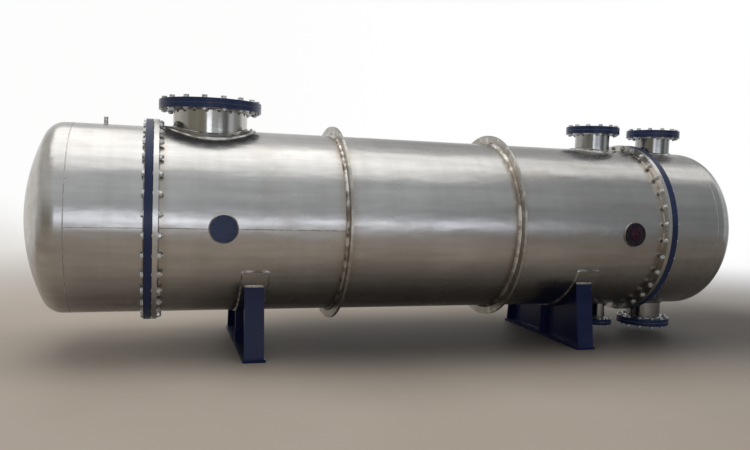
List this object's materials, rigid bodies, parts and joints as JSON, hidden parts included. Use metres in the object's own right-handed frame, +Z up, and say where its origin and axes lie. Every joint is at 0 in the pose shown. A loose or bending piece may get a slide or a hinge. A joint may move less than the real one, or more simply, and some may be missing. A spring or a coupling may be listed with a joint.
{
  "type": "shell and tube heat exchanger",
  "caption": "Horizontal stainless shell and tube heat exchanger on navy saddles, with dished ends, stiffening rings and blanked flanged nozzles.",
  "frame": {"origin": "on the floor under the middle of the overall length, on the vessel's centreline", "axes": "+X along the vessel axis towards the channel with two nozzles, +Z up, the side ports face -Y"},
  "size_m": [4.2538, 1.1258, 1.374],
  "materials": {
    "stainless": "satin",
    "navy_enamel": "gloss",
    "gasket_sheet": "matte",
    "dark_cover": "satin"
  },
  "bodies": {
    "root": {"bonnet_vent": "stainless", "channel_bottom_nozzle_blind": "navy_enamel", "channel_bottom_nozzle_flange": "navy_enamel", "channel_bottom_nozzle_neck": "stainless", "channel_top_nozzle_blind": "navy_enamel", "channel_top_nozzle_flange": "navy_enamel", "channel_top_nozzle_neck": "stainless", "drain_blind": "navy_enamel", "drain_flange": "navy_enamel", "drain_neck": "stainless", "left_body_flange": "navy_enamel", "left_body_gasket": "gasket_sheet", "left_bonnet_barrel": "stainless", "left_dished_head": "stainless", "left_port_boss": "stainless", "left_port_cover": "navy_enamel", "left_saddle_base": "navy_enamel", "left_saddle_stiffeners": "navy_enamel", "left_saddle_wear_pad": "stainless", "left_saddle_web": "navy_enamel", "left_stiffening_ring": "stainless", "left_tubesheet": "stainless", "right_body_flange": "navy_enamel", "right_body_gasket": "gasket_sheet", "right_channel_barrel": "stainless", "right_dished_head": "stainless", "right_port_boss": "stainless", "right_port_cover": "dark_cover", "right_saddle_base": "navy_enamel", "right_saddle_stiffeners": "navy_enamel", "right_saddle_wear_pad": "stainless", "right_saddle_web": "navy_enamel", "right_stiffening_ring": "stainless", "right_tubesheet": "stainless", "shell_left_course": "stainless", "shell_middle_course": "stainless", "shell_nozzle_blind": "navy_enamel", "shell_nozzle_flange": "navy_enamel", "shell_nozzle_neck": "stainless", "shell_nozzle_pad": "stainless", "shell_right_course": "stainless", "vapour_blind": "navy_enamel", "vapour_flange": "navy_enamel", "vapour_neck": "stainless", "vapour_pad": "stainless"}
  },
  "joints": []
}
